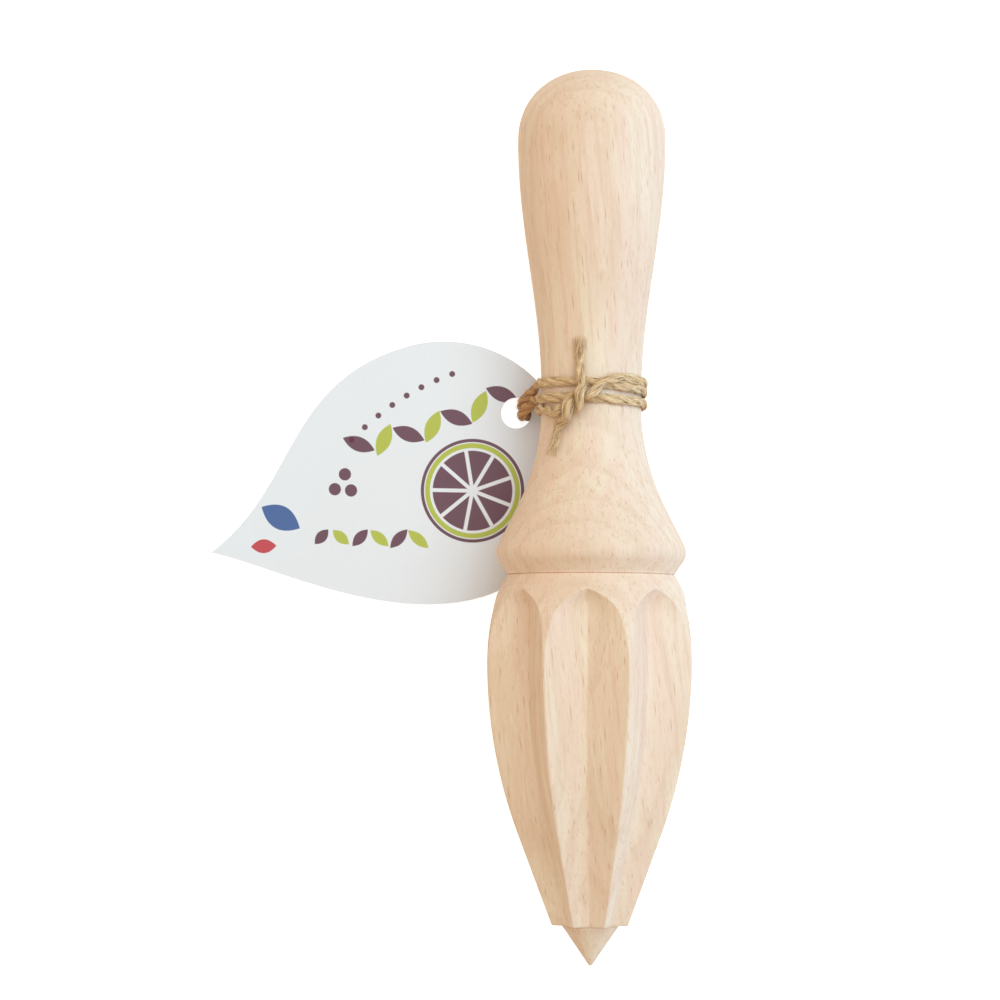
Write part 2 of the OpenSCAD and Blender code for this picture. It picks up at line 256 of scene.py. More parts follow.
def reamer_mesh():
    """The turned and fluted wood, with softened ridges, as rows from the point to the handle's top."""
    # Columns across half a flute, as shares of its width, closer together at its bottom and its edge
    half_flute = [0.03, 0.08, 0.16, 0.28, 0.42, 0.57, 0.72, 0.85, 0.94, 0.985, 1]
    in_flute = [-x for x in reversed(half_flute)] + [0] + half_flute
    land_steps = 4
    sector = 360 / FLUTES
    plain_edge = sector / 2 * len(in_flute) / (len(in_flute) + land_steps)
    edge_soft_mm = 0.045
    least_edge = 0.3

    def turns(edge):
        """Angles of one sector's columns: across the flute, then across the land."""
        land = sector - 2 * edge
        return [edge * x for x in in_flute] + [edge + land * i / land_steps for i in range(1, land_steps)]

    def ring(station, edge, radius):
        """A row of points; radius is a function of the angle from the nearest flute's middle."""
        row = []
        for n in range(FLUTES):
            for turn in turns(edge):
                from_middle = turn if turn <= sector / 2 else sector - turn
                row.append(round_axis(n * sector + turn, station, radius(from_middle)))
        return row

    def plain_ring(station, edge, radius):
        """A row of points at one radius."""
        return ring(station, edge, lambda turn: radius)

    def fluted(station):
        """Radius across one sector of the head: the lower of the turned and the fluted surface."""
        def radius(turn):
            turned, cut = head_radius(station), flute_radius(station, turn)
            return (turned + cut - math.hypot(turned - cut, edge_soft_mm)) / 2
        return radius

    # The flute's arch closes where its bottom line meets the turned shoulder
    low, arch_top = RUNOUT_S, GROOVE_S
    for _ in range(30):
        middle = (low + arch_top) / 2
        if valley_radius(middle) < head_radius(middle):
            low = middle
        else:
            arch_top = middle

    # The point and its small cone, with a bevel at its foot
    step_edge = ridge_edge(CONE_H_MM)
    bevel_mm = 0.09
    cone_r = CONE_D_MM / 2
    cone_foot = POINT_R_MM * (1 - sin(CONE_ANGLE)) + (cone_r - POINT_R_MM * cos(CONE_ANGLE)) / tan(CONE_ANGLE)
    outline = arc((0, POINT_R_MM), POINT_R_MM, -88, -CONE_ANGLE, 8)
    tip_r, tip_s = outline[-1]
    outline += [(tip_r + (cone_r - tip_r) * u, tip_s + (cone_foot - tip_s) * u)
                for u in np.linspace(0.04, 1, 14)]
    outline += [(cone_r, CONE_H_MM - bevel_mm), (cone_r + bevel_mm, CONE_H_MM)]
    rows = [plain_ring(s, step_edge, r) for r, s in outline]

    # The fluted head, with rows closer together towards the top of the arches
    first = fluted(CONE_H_MM)
    rows.append(ring(CONE_H_MM, step_edge, lambda turn: first(turn) - bevel_mm))
    rows.append(ring(CONE_H_MM + bevel_mm, step_edge, first))
    arch_foot = RUNOUT_S - 3
    long_part = np.linspace(CONE_H_MM + 0.5, arch_foot, 90)
    arch = arch_top - (arch_top - arch_foot) * np.linspace(0.97, 0.02, 40) ** 2
    rows += [ring(s, max(ridge_edge(s), least_edge), fluted(s)) for s in (*long_part, *arch)]

    # Above the arch the columns spread out evenly again
    groove_top = on_arc(GROOVE_C, GROOVE_R_MM, 180 + SHOULDER_ANGLE)
    for u in np.linspace(0.04, 1, 12):
        s = arch_top + (groove_top[1] - arch_top) * u
        rows.append(plain_ring(s, max(plain_edge * u, least_edge), head_radius(s)))

    # The groove, with a fine nick at its bottom, and then the collar, the flare and the handle
    nick_mm = 0.25
    outline = arc(GROOVE_C, GROOVE_R_MM, 180 + SHOULDER_ANGLE - 6, 189, 5)
    outline.append((GROOVE_D_MM / 2 - nick_mm, GROOVE_S))
    outline += arc(GROOVE_C, GROOVE_R_MM, 171, 180 - UNDERCUT_ANGLE, 5)
    outline += arc(COLLAR_C, COLLAR_R_MM, -UNDERCUT_ANGLE, FLARE_ANGLE, 12)
    outline += arc((NECK_R + FLARE_R_MM, NECK_S), FLARE_R_MM, 180 + FLARE_ANGLE, 180, 24)
    dome_s = LENGTH_MM - DOME_H_MM
    for u in np.linspace(0, 1, 60):
        outline.append((NECK_R + (GRIP_R - NECK_R) * (1 - cos(180 * u)) / 2,
                        NECK_S + NECK_L_MM + (dome_s - NECK_S - NECK_L_MM) * u))
    for a in np.linspace(2.5, 89.5, 40):
        outline.append((GRIP_R * cos(a) ** (2 / DOME_POWER), dome_s + DOME_H_MM * sin(a) ** (2 / DOME_POWER)))
    rows += [plain_ring(s, plain_edge, r) for r, s in outline]

    mesh = grid_mesh("turned_reamer", rows)
    mesh.shade_smooth()
    mesh.set_sharp_from_angle(angle=math.radians(38))
    return mesh


# Twine: the route of the part's source, but with its turns drawn together on the right of the neck
TWINE_R = TWINE_MM / 2
WRAP_R = NECK_R + TWINE_ROOM_MM + TWINE_R
WRAP_S = NECK_S + 5.3
TWINE_PITCH_MM = TWINE_MM + TWINE_GAP_MM
TURN_START = 45
LEAVE_NECK = 140
JOIN_NECK = 280
LAST_START = 360 * (TWINE_TURNS - 2) + JOIN_NECK
LAST_END = 360 * TWINE_TURNS - 60
RING_STEP = 15

# Points of the twine's free runs: those by the tag as (side, station from where the twine
# leaves the neck, height over the table), and the others as (turn, station from the neck, height over it)
TAG_PASS = [(2.5, -0.4, 4.9), (-1.5, -1, 1.8), (-3.4, -1.6, 1), (-6, -2.3, 0.95), (-9, -3.2, 0.95),
            (-11.9, -4, 1.05), (-12.9, -4.1, 1.9), (-13.2, -4.1, 3.1), (-13.2, -3.9, 5.2),
            (-12.4, -2.8, 8.8), (-11.3, -1.6, 12.8)]
TAIL_UPPER = [(-7, 3.5, 3.1), (-9, 5.5, 2.1), (-10, 8, 1.25), (-9.6, 10.3, 1.35)]
TAIL_LOWER = [(-37, -8.6, 2.2), (-35, -6, 1.6), (-30, -4.1, 2.4)]
LEAD_START = [(14, 3.1, 2.9), (30, 4.1, 2.15)]
LEAD_END = [(-47, -1.5, 1.7), (-35, -2.2, 2.9)]

KNOT_TURN = -12
KNOT_S = NECK_S - 0.5
KNOT_SLANT = 50
KNOT_GAP_MM = 0.1
KNOT_STEPS = 12

# The station that the turns are drawn to, the share by which they are, and the sine where that is full
GATHERED_S = WRAP_S - 5.2
GATHERED = 0.2
GATHERED_FULLY = 0.8


def twine_route():
    """Points down the middle of the twine, from the lower loose end to the upper one."""
    def free(points):
        return [round_axis(turn, NECK_S + s, NECK_R + h) for turn, s, h in points]

    def wrap(start, end):
        """Part of the turns, which the pull of the knot draws together on the right of the neck."""
        spread = TWINE_SPREAD_MM if start >= LAST_START else 0
        points = []
        for a in range(start, end + 1, RING_STEP):
            station = WRAP_S - TWINE_PITCH_MM * a / 360 - spread
            pull = GATHERED * min(max(sin(a) / GATHERED_FULLY, 0), 1)
            points.append(round_axis(a, station + (GATHERED_S - station) * pull, WRAP_R))
        return points

    def tag_pass(k):
        leave_s = WRAP_S - TWINE_PITCH_MM * (k + LEAVE_NECK / 360)
        return [on_table(x, leave_s + s, z) for x, s, z in TAG_PASS]

    ride = WRAP_R + TWINE_R + KNOT_GAP_MM + KNOT_R_MM + TWINE_R
    middle = round_axis(KNOT_TURN, KNOT_S, ride)
    out = (round_axis(KNOT_TURN, KNOT_S, ride + 1) - middle).normalized()
    along = out.cross(ALONG) * -sin(KNOT_SLANT) + ALONG * cos(KNOT_SLANT)
    side = along.cross(out)

    def strand(phase):
        points = []
        for i in range(KNOT_STEPS + 1):
            turn = 360 / KNOT_STEPS * i + phase
            round_knot = (out * sin(turn) + side * cos(turn)) * KNOT_R_MM * MM
            points.append(middle + along * KNOT_L_MM * MM * (i / KNOT_STEPS - 0.5) + round_knot)
        return points

    return (free(TAIL_LOWER) + strand(0) + free(LEAD_START) + wrap(TURN_START, LEAVE_NECK) + tag_pass(0)
            + wrap(JOIN_NECK, 360 + LEAVE_NECK) + tag_pass(1) + wrap(LAST_START, LAST_END)
            + free(LEAD_END) + strand(180) + free(TAIL_UPPER))


# Visible yarn: two plies twisted round each other, with loose fibres
PLY_R = 0.5 * MM
PLY_OFF = 0.42 * MM
PLY_LAY = 8.5 * MM
PLY_SKIN = 0.35 * MM
PLY_SIDES = 12
YARN_STEP = 0.3 * MM
FRAYED = 5.5 * MM
BRUSH = 6 * MM
BUNDLES = 380
HAIRS = 950
END_HAIRS = 150
FIBRE_STEPS = 7
FIBRE_SIDES = 5

# Share of its height over the wood that the knot's pull takes off the twine, and the heights where that ends
FLAT_SHARE = 0.4
FLAT_DEPTH_MM = 2.4
FLAT_END_MM = 6.5
FLAT_FADE_MM = 3
TABLE_CLEAR_MM = 0.05


def smooth_line(points, step):
    """Points about step apart on a Catmull-Rom curve, which passes smoothly through the given ones."""
    given = np.array([tuple(p) for p in points])
    ends = np.vstack([2 * given[0] - given[1], given, 2 * given[-1] - given[-2]])
    line = []
    for a, b, c, d in zip(ends, ends[1:], ends[2:], ends[3:]):
        count = max(2, round(np.linalg.norm(c - b) / step))
        for u in np.arange(count) / count:
            line.append(0.5 * (2 * b + (c - a) * u + (2 * a - 5 * b + 4 * c - d) * u ** 2
                               + (3 * b - a - 3 * c + d) * u ** 3))
    line.append(given[-1])
    return [Vector(p) for p in line]


def frames_along(line):
    """At each point of a line, its direction and two directions across it that never twist."""
    across = Vector((0, 0, 1))
    frames = []
    for i in range(len(line)):
        ahead = (line[min(i + 1, len(line) - 1)] - line[max(i - 1, 0)]).normalized()
        across = (across - ahead * across.dot(ahead)).normalized()
        frames.append((ahead, across.copy(), ahead.cross(across)))
    return frames


class Yarn:
    """Gathers the tubes of the twine's plies and fibres into one mesh.

    Each point has the share of the way round its tube, the length along it in millimetres and its shade.
    """

    def __init__(self):
        self.points = []
        self.faces = []
        self.strand = []

    def tube(self, line, radii, sides, shade):
        """One closed tube along a line; shade is a number from 0 to 1 that its material reads."""
        start = len(self.points)
        length = 0
        for i, (point, (_, across, over)) in enumerate(zip(line, frames_along(line))):
            length += (point - line[i - 1]).length if i else 0
            for k in range(sides):
                turn = 2 * math.pi * k / sides
                out = (across * math.cos(turn) + over * math.sin(turn)) * radii[i]
                self.points.append(pressed(point + out))
                self.strand += [k / sides, length / MM, shade]
        rings = len(line)
        for j in range(rings - 1):
            for k in range(sides):
                a, b = start + j * sides + k, start + j * sides + (k + 1) % sides
                self.faces.append((a, b, b + sides, a + sides))
        self.faces.append(tuple(start + k for k in reversed(range(sides))))
        self.faces.append(tuple(start + (rings - 1) * sides + k for k in range(sides)))

    def mesh(self, name):
        mesh = bpy.data.meshes.new(name)
        mesh.from_pydata(self.points, [], self.faces)
        strand = mesh.attributes.new("strand", "FLOAT_VECTOR", "POINT")
        strand.data.foreach_set("vector", self.strand)
        mesh.shade_smooth()
        return mesh


def wood_radius_mm(station):
    """Radius of the turned wood near its neck."""
    if station < NECK_S:
        below = min(NECK_S - station, FLARE_R_MM * sin(FLARE_ANGLE))
        return NECK_R + FLARE_R_MM - math.sqrt(FLARE_R_MM ** 2 - below ** 2)
    above = max(station - NECK_S - NECK_L_MM, 0) / (LENGTH_MM - DOME_H_MM - NECK_S - NECK_L_MM)
    return NECK_R + (GRIP_R - NECK_R) * (1 - cos(180 * above)) / 2


def pressed(point):
    """A point of the twine, moved towards the wood as far as the pull of the knot flattens it there."""
    station = (point - POINT_AT).dot(ALONG)
    axis_point = POINT_AT + ALONG * station
    out = point - axis_point
    height = out.length / MM - wood_radius_mm(station / MM)
    fade = min(max((FLAT_END_MM - height) / FLAT_FADE_MM, 0), 1)
    drop = FLAT_SHARE * min(max(height, 0), FLAT_DEPTH_MM) * fade
    moved = point - out.normalized() * drop * MM
    moved.z = max(moved.z, TABLE_CLEAR_MM * MM)
    return moved


def wander(count, step, size):
    """Smooth random numbers about 1, one for each of count points, changing every step points."""
    knots = [1 + rng.uniform(-size, size) for _ in range(count // step + 3)]
    return [np.interp(i / step, range(len(knots)), knots) for i in range(count)]


def twine_mesh(line):
    """Two plies with uneven thickness, which open at the ends, and loose fibres all along."""
    yarn = Yarn()
    frames = frames_along(line)
    count = len(line)
    fray = round(FRAYED / YARN_STEP)
    ends_in = [min(1, i / fray, (count - 1 - i) / fray) for i in range(count)]
    for phase in (0, math.pi):
        off = wander(count, step=14, size=0.1)
        thick = wander(count, step=9, size=0.13)
        ply = []
        for i, (point, (_, across, over)) in enumerate(zip(line, frames)):
            turn = phase + 2 * math.pi * i * YARN_STEP / PLY_LAY
            open_end = 1 + 0.7 * (1 - ends_in[i])
            aside = (across * math.cos(turn) + over * math.sin(turn)) * PLY_OFF * off[i] * open_end
            ply.append(point + aside)
        yarn.tube(ply, [PLY_R * t * (0.5 + 0.5 * e) for t, e in zip(thick, ends_in)], PLY_SIDES, 0)

    def fibre(start, reach, lift, thick):
        """A loose fibre that leaves the twine at a point of the line and bends away from it."""
        side = rng.uniform(0, 2 * math.pi)
        sense = rng.choice((-1, 1))
        curl = rng.uniform(-1.2, 1.2)
        path = []
        for k in range(FIBRE_STEPS):
            u = k / (FIBRE_STEPS - 1)
            i = min(max(start + sense * round(reach * u / YARN_STEP), 0), count - 1)
            beyond = start + sense * reach * u / YARN_STEP - i
            ahead, across, over = frames[i]
            turn = side + curl * u
            out = PLY_OFF + PLY_SKIN + lift * u ** 1.6
            path.append(line[i] + ahead * beyond * YARN_STEP
                        + (across * math.cos(turn) + over * math.sin(turn)) * out)
        radii = [thick * (1 - 0.6 * k / FIBRE_STEPS) for k in range(FIBRE_STEPS)]
        yarn.tube(path, radii, FIBRE_SIDES, rng.uniform(0.1, 1))

    # Bundles that lie on the plies, then hairs that stand off them, then the brush of hairs at both ends
    for _ in range(BUNDLES):
        fibre(start=rng.randrange(fray, count - fray), reach=rng.uniform(3, 7) * MM,
              lift=rng.uniform(-0.1, 0.12) * MM, thick=rng.uniform(0.07, 0.13) * MM)
    for _ in range(HAIRS):
        fibre(start=rng.randrange(fray, count - fray), reach=rng.uniform(0.8, 3.4) * MM,
              lift=rng.uniform(0.05, 0.75) * MM, thick=rng.uniform(0.016, 0.034) * MM)
    for _ in range(END_HAIRS):
        at_end = rng.choice((0, count - 1))
        inward = rng.randrange(round(BRUSH / YARN_STEP))
        start = at_end + inward if at_end == 0 else at_end - inward
        fibre(start, reach=inward * YARN_STEP + rng.uniform(0.3, 1.2) * MM,
              lift=rng.uniform(0.05, 0.8) * MM, thick=rng.uniform(0.03, 0.08) * MM)
    return yarn.mesh("jute_twine")


# Tag: its outline in its own frame, with the round end's centre at the origin and the tip along +X.
# Its two edges leave the round end at an angle and reach the tip at a turn, each with a pull along its way.
EDGE_LOWER = 88
EDGE_UPPER = 94
PULL_LOWER_MM = 18.8
PULL_UPPER_MM = 24.5
TIP_PULL_LOWER_MM = 10
TIP_PULL_UPPER_MM = 20.5
TIP_TURN_LOWER = 28.5
TIP_TURN_UPPER = 16.8
BULGE_MM = 0.45
BULGE_REACH_MM = 26
TIP_END_MM = 4


def bend(points, steps):
    """Inner points of a cubic curve through four control points."""
    a, b, c, d = (np.array(p) for p in points)
    return [tuple((1 - u) ** 3 * a + 3 * (1 - u) ** 2 * u * b + 3 * (1 - u) * u * u * c + u ** 3 * d)
            for u in np.linspace(0, 1, steps + 1)[1:-1]]


def tag_outline(steps):
    """The card's outline from its tip round to its tip, and its lower edge alone."""
    def along(length, turn):
        return length * np.array((cos(turn), sin(turn)))

    tip = along(TAG_REACH_MM, 0)
    near_lower = along(TAG_R_MM, EDGE_LOWER)
    near_upper = along(TAG_R_MM, -EDGE_UPPER)
    lower = bend([tip, tip + along(TIP_PULL_LOWER_MM, 180 - TIP_TURN_LOWER),
                  near_lower + along(PULL_LOWER_MM, EDGE_LOWER - 90), near_lower], steps)
    upper = bend([near_upper, near_upper + along(PULL_UPPER_MM, 90 - EDGE_UPPER),
                  tip + along(TIP_PULL_UPPER_MM, 180 + TIP_TURN_UPPER), tip], steps)
    round_end = arc((0, 0), TAG_R_MM, EDGE_LOWER, 360 - EDGE_UPPER, 3 * steps)
    return [tuple(tip)] + lower + round_end + upper, lower


def tag_place():
    """The card's place: resting on its tip and lower edge, with its hole held up by the twine."""
    # Turned about its tip until its lower edge lies on the table, then tilted up about that line
    _, lower = tag_outline(steps=14)
    hole = Vector((cos(TAG_HOLE_TURN), sin(TAG_HOLE_TURN), 0)) * TAG_HOLE_REACH_MM * MM
    rest = max(math.atan2(y, TAG_REACH_MM - x) for x, y in lower if x < TAG_REACH_MM - TIP_END_MM)
    laid = Matrix.Rotation(rest - math.pi, 4, "Z") @ Matrix.Translation((-TAG_REACH_MM * MM, 0, 0))
    tilt = math.asin(TAG_LIFT_MM * MM / (laid @ hole).y)
    heading = math.radians(TAG_YAW) + math.pi - rest
    turned = Matrix.Rotation(heading, 4, "Z") @ Matrix.Rotation(tilt, 4, "X") @ laid
    hinge = next(j for j in frame["joints"] if j["name"] == "tag_swing")
    return Matrix.Translation(Vector(hinge["pos_m"]) - turned @ hole) @ turned


def tag_mesh():
    """The card, which bulges a little along its middle, with its own flat frame kept for its print."""
    outline, _ = tag_outline(steps=24)
    hole_at = on_arc((0, 0), TAG_HOLE_REACH_MM, TAG_HOLE_TURN)
    hole = [on_arc(hole_at, TAG_HOLE_D_MM / 2, a) for a in range(0, 360, 9)]
    spacing_mm = 1.6
    across = np.arange(-TAG_R_MM, TAG_REACH_MM, spacing_mm)
    inner = [(x + rng.uniform(-0.1, 0.1), y + rng.uniform(-0.1, 0.1))
             for x in across for y in across[across < TAG_R_MM]]
    flat = [Vector(p) for p in outline + hole + inner]
    first_hole = len(outline)
    rims = [(i, (i + 1) % first_hole) for i in range(first_hole)]
    rims += [(first_hole + i, first_hole + (i + 1) % len(hole)) for i in range(len(hole))]
    points, _, triangles, *_ = delaunay_2d_cdt(flat, rims, [], 1, 1e-5)

    def in_hole(triangle):
        middle = sum((points[i] for i in triangle), Vector((0, 0))) / 3
        return (middle - Vector(hole_at)).length < TAG_HOLE_D_MM / 2 * 0.99

    top = [t for t in triangles if not in_hole(t)]
    used = sorted({i for t in top for i in t})
    number = {i: n for n, i in enumerate(used)}
    top = [tuple(number[i] for i in t) for t in top]
    count = len(used)
    # The rim is made of the edges that only one triangle has
    uses = dict.fromkeys(edge for t in top for edge in zip(t, t[1:] + t[:1]))
    rim = [(a, b) for a, b in uses if (b, a) not in uses]

    def bulge(x, y):
        """Height of the card's bulge, which is nothing along its two long edges."""
        share = min(max((TAG_R_MM - y) / (2 * TAG_R_MM), 0), 1)
        return BULGE_MM * math.sin(math.pi * share) * math.exp(-(x / BULGE_REACH_MM) ** 2)

    flat_mm = [(points[i].x, points[i].y, z) for z in (0, TAG_T_MM) for i in used]
    laid = tag_place()
    coords = [laid @ (Vector((x, y, z + bulge(x, y))) * MM) for x, y, z in flat_mm]
    faces = [tuple(reversed(t)) for t in top]
    faces += [tuple(i + count for i in t) for t in top]
    faces += [(a, b, b + count, a + count) for a, b in rim]
    mesh = bpy.data.meshes.new("card_tag")
    mesh.from_pydata(coords, [], faces)
    on_card = mesh.attributes.new("on_card", "FLOAT_VECTOR", "POINT")
    on_card.data.foreach_set("vector", [value for point in flat_mm for value in point])
    mesh.shade_smooth()
    mesh.set_sharp_from_angle(angle=math.radians(40))
    edge_faces = [0] * (2 * len(top)) + [1] * len(rim)
    mesh.polygons.foreach_set("material_index", edge_faces)
    return mesh


def colour(red, green, blue):
    """A colour written as it looks on screen, from 0 to 255, as Blender's linear values."""
    def linear(x):
        x /= 255
        return x / 12.92 if x < 0.04045 else ((x + 0.055) / 1.055) ** 2.4
    return linear(red), linear(green), linear(blue), 1


WHITE = (1, 1, 1, 1)


class Value:
    """A node's output, on which arithmetic adds Math nodes."""

    def __init__(self, nodes, socket):
        self.nodes = nodes
        self.socket = socket

    def maths(self, operation, *others):
        """This value and the others, if any, put through a Math node."""
        return self.nodes.maths(operation, self, *others)

    def __add__(self, other):
        return self.maths("ADD", other)

    def __sub__(self, other):
        return self.maths("SUBTRACT", other)

    def __rsub__(self, other):
        return self.nodes.maths("SUBTRACT", other, self)

    def __mul__(self, other):
        return self.maths("MULTIPLY", other)

    def __truediv__(self, other):
        return self.maths("DIVIDE", other)

    def __pow__(self, other):
        return self.maths("POWER", other)

    def __abs__(self):
        return self.maths("ABSOLUTE")

    __radd__ = __add__
    __rmul__ = __mul__


class Nodes:
    """The shader nodes of a material or a world, which all come from one method."""

    def __init__(self, tree):
        self.tree = tree

    def node(self, kind, settings, sockets, output=0):
        """Adds a node with its settings and its sockets' values or links, and gives one of its outputs."""
        node = self.tree.nodes.new(kind)
        for name, value in settings.items():
            setattr(node, name, value)
        for name, value in sockets.items():
            if isinstance(value, Value):
                self.tree.links.new(value.socket, node.inputs[name])
            else:
                node.inputs[name].default_value = value
        return Value(self, node.outputs[output])

    def maths(self, operation, *inputs):
        return self.node("ShaderNodeMath", {"operation": operation}, dict(enumerate(inputs)))

    def split(self, spot):
        """The three parts of a point."""
        first = self.node("ShaderNodeSeparateXYZ", {}, {"Vector": spot}, "X")
        return [Value(self, first.socket.node.outputs[axis]) for axis in "XYZ"]

    def seen_directly(self):
        """1 for rays from the camera and through gloss or glass, and 0 for the light on the object."""
        camera = self.node("ShaderNodeLightPath", {}, {}, "Is Camera Ray")
        path = camera.socket.node.outputs
        seen = camera.maths("MAXIMUM", Value(self, path["Is Glossy Ray"]))
        return seen.maths("MAXIMUM", Value(self, path["Is Transmission Ray"]))

    def show(self, shader, output):
        self.tree.links.new(shader.socket, self.tree.nodes[output].inputs["Surface"])


class Finish(Nodes):
    """A material on a Principled shader."""

    def __init__(self, name, **constants):
        self.material = bpy.data.materials.new(name)
        self.material.use_nodes = True
        super().__init__(self.material.node_tree)
        self.shader = self.tree.nodes["Principled BSDF"]
        for socket, value in constants.items():
            self.shader.inputs[socket.replace("_", " ")].default_value = value

    def feed(self, socket, value):
        self.tree.links.new(value.socket, self.shader.inputs[socket])

    def between(self, value, low, high):
        """0 where value is at low, 1 where it is at high, and smooth in between."""
        return self.node("ShaderNodeMapRange", {"interpolation_type": "SMOOTHSTEP"},
                         {"Value": value, "From Min": low, "From Max": high})

    def mix(self, share, first, second):
        """Two colours mixed by a share from 0 to 1."""
        return self.node("ShaderNodeMix", {"data_type": "RGBA"}, {0: share, 6: first, 7: second}, 2)

    def surface_point(self):
        """The point of the surface in the piece's own space, in millimetres."""
        spot = self.node("ShaderNodeTexCoord", {}, {}, "Object")
        return self.scaled(spot, (1000, 1000, 1000))

    def scaled(self, spot, scale, turn=(0, 0, 0)):
        """A point turned by angles in degrees and then stretched."""
        angles = [math.radians(a) for a in turn]
        turned = self.node("ShaderNodeMapping", {}, {"Vector": spot, "Rotation": angles})
        return self.node("ShaderNodeMapping", {}, {"Vector": turned, "Scale": scale})

    def noise(self, spot, scale=1, detail=2, rough=0.5):
        return self.node("ShaderNodeTexNoise", {},
                         {"Vector": spot, "Scale": scale, "Detail": detail, "Roughness": rough})

    def bump(self, height, strength, distance_mm):
        """A bumped normal from a height between 0 and 1."""
        return self.node("ShaderNodeBump", {},
                         {"Height": height, "Strength": strength, "Distance": distance_mm * MM})


def beech():
    """Untreated beech: pale straight grain with short fine flecks, soft streaks and faint year rings."""
    wood = Finish("beech", Specular_IOR_Level=0.4)
    spot = wood.surface_point()
    grain = wood.scaled(spot, (1, 1, 1), (-3, 0, -5))

    def flecks(width_mm, length_mm, low, high, kept):
        """Lens shaped marks along the grain, of which a share is kept."""
        stretched = wood.scaled(grain, (1 / width_mm, 1 / length_mm, 1 / width_mm))
        cells = {"Vector": stretched, "Scale": 1, "Randomness": 1}
        near = wood.node("ShaderNodeTexVoronoi", {}, cells, "Distance")
        chance = wood.node("ShaderNodeTexVoronoi", {}, cells, "Color")
        red = wood.node("ShaderNodeSeparateColor", {}, {"Color": chance}, "Red")
        return wood.between(near, high, low) * wood.between(red, 1 - kept, 1 - kept + 0.2)

    rays = flecks(width_mm=0.6, length_mm=7.5, low=0.06, high=0.27, kept=0.8)
    fine = flecks(width_mm=0.36, length_mm=4.4, low=0.08, high=0.32, kept=0.7)
    pores = wood.noise(wood.scaled(grain, (6, 0.9, 6)))
    streaks = wood.noise(wood.scaled(grain, (1.3, 0.05, 1.3)), detail=3, rough=0.6)
    bands = wood.noise(wood.scaled(grain, (0.42, 0.022, 0.42)), detail=3)
    broad = wood.noise(wood.scaled(grain, (0.07, 0.03, 0.07)))

    # Year rings round a far axis along the grain, so that the turned form cuts them in nested curves
    side, _, up = wood.split(grain)
    ring_mm, heart_side_mm, heart_depth_mm = 2.9, 6, 46
    across, over = side - heart_side_mm, up + heart_depth_mm
    rings = ((across * across + over * over) ** 0.5 + broad * 5 + bands * 1.2) / ring_mm
    late = wood.between(rings.maths("FRACT"), 0.45, 1)

    tone = wood.mix(wood.between(broad, 0.35, 0.65), colour(239, 217, 194), colour(234, 207, 183))
    tone = wood.mix(wood.between(bands, 0.4, 0.62) * 0.55, tone, colour(236, 201, 181))
    tone = wood.mix(wood.between(streaks, 0.45, 0.75) * 0.42, tone, colour(216, 177, 148))
    tone = wood.mix(late * 0.22, tone, colour(217, 177, 146))
    tone = wood.mix(wood.between(pores, 0.5, 0.72) * 0.2, tone, colour(206, 168, 132))
    tone = wood.mix(fine * 0.38, tone, colour(206, 156, 116))
    tone = wood.mix(rays * 0.52, tone, colour(192, 140, 100))
    wood.feed("Base Color", tone)
    wood.feed("Roughness", 0.5 + pores * 0.25)
    height = 0.6 + pores * 0.3 - rays * 0.2 - fine * 0.15
    wood.feed("Normal", wood.bump(height, strength=0.3, distance_mm=0.05))
    return wood.material


def jute():
    """Hairy tan yarn, whose plies show their fibres lying along them."""
    yarn = Finish("jute_twine", Roughness=0.85, Specular_IOR_Level=0.25)
    strand = yarn.node("ShaderNodeAttribute", {"attribute_name": "strand"}, {}, "Vector")
    share, length, shade = yarn.split(strand)
    turn = share * (2 * math.pi)

    # The noise runs in a circle, so that it has no seam round the ply
    circle = 3.2
    ring = yarn.node("ShaderNodeCombineXYZ", {}, {
        "X": turn.maths("COSINE") * circle, "Y": turn.maths("SINE") * circle, "Z": length * 0.5})
    fibres = yarn.noise(ring, scale=1.4, detail=3, rough=0.6)
    spot = yarn.surface_point()
    patches = yarn.noise(spot, scale=0.35)
    tone = yarn.mix(yarn.between(fibres, 0.32, 0.68), colour(186, 142, 94), colour(246, 220, 180))
    tone = yarn.mix(yarn.between(patches, 0.4, 0.7) * 0.45, tone, colour(220, 184, 138))
    loose = yarn.mix(shade, colour(204, 160, 108), colour(250, 228, 194))
    tone = yarn.mix(yarn.between(shade, 0.05, 0.15), tone, loose)

    # Painted shade: the strands beside the tag are painted darker and more orange, standing in for the shade
    # that falls on them there
    side, _, height = yarn.split(spot)
    painted_shade_by_tag = yarn.between(side, -6, -9) * yarn.between(height, 20, 14)
    tone = yarn.mix(painted_shade_by_tag * 0.55, tone, colour(192, 130, 78))
    yarn.feed("Base Color", tone)
    yarn.feed("Normal", yarn.bump(fibres, strength=0.6, distance_mm=0.12))
    return yarn.material


# Inks, as they look on screen
MAROON = (98, 50, 70)
OLIVE = (182, 192, 62)
INK_BLUE = (52, 92, 158)
INK_RED = (196, 52, 66)


